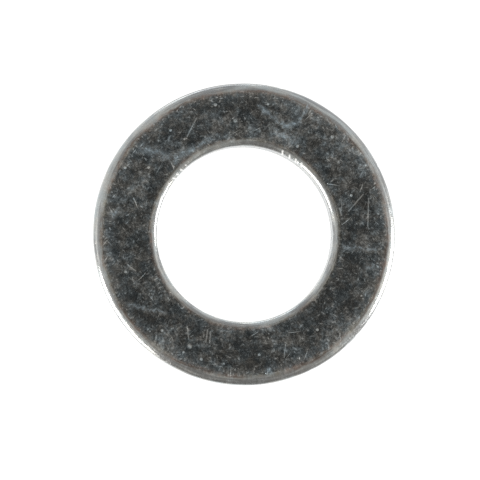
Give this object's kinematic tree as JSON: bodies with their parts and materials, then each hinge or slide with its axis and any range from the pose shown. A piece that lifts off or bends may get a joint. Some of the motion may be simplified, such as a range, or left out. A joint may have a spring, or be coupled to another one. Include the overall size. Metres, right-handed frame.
{
  "type": "flat washer",
  "caption": "Small-series flat washer: a stamped, tumbled and zinc-plated steel ring with a plain round bore, rolled edges on its upper side and square-cut edges below.",
  "frame": {"origin": "centre of the bore on the plane of the underside", "axes": "+Z along the bore axis, from the square-cut side to the side with the die-rolled edges; X and Y are any two directions across the ring"},
  "size_m": [0.018, 0.018, 0.0016],
  "materials": {
    "zinc_plated_steel": "bright zinc plate over tumbled steel: satin, with fine random scratches and faint dried-water marks"
  },
  "bodies": {
    "root": {"washer": "zinc_plated_steel"}
  },
  "joints": []
}
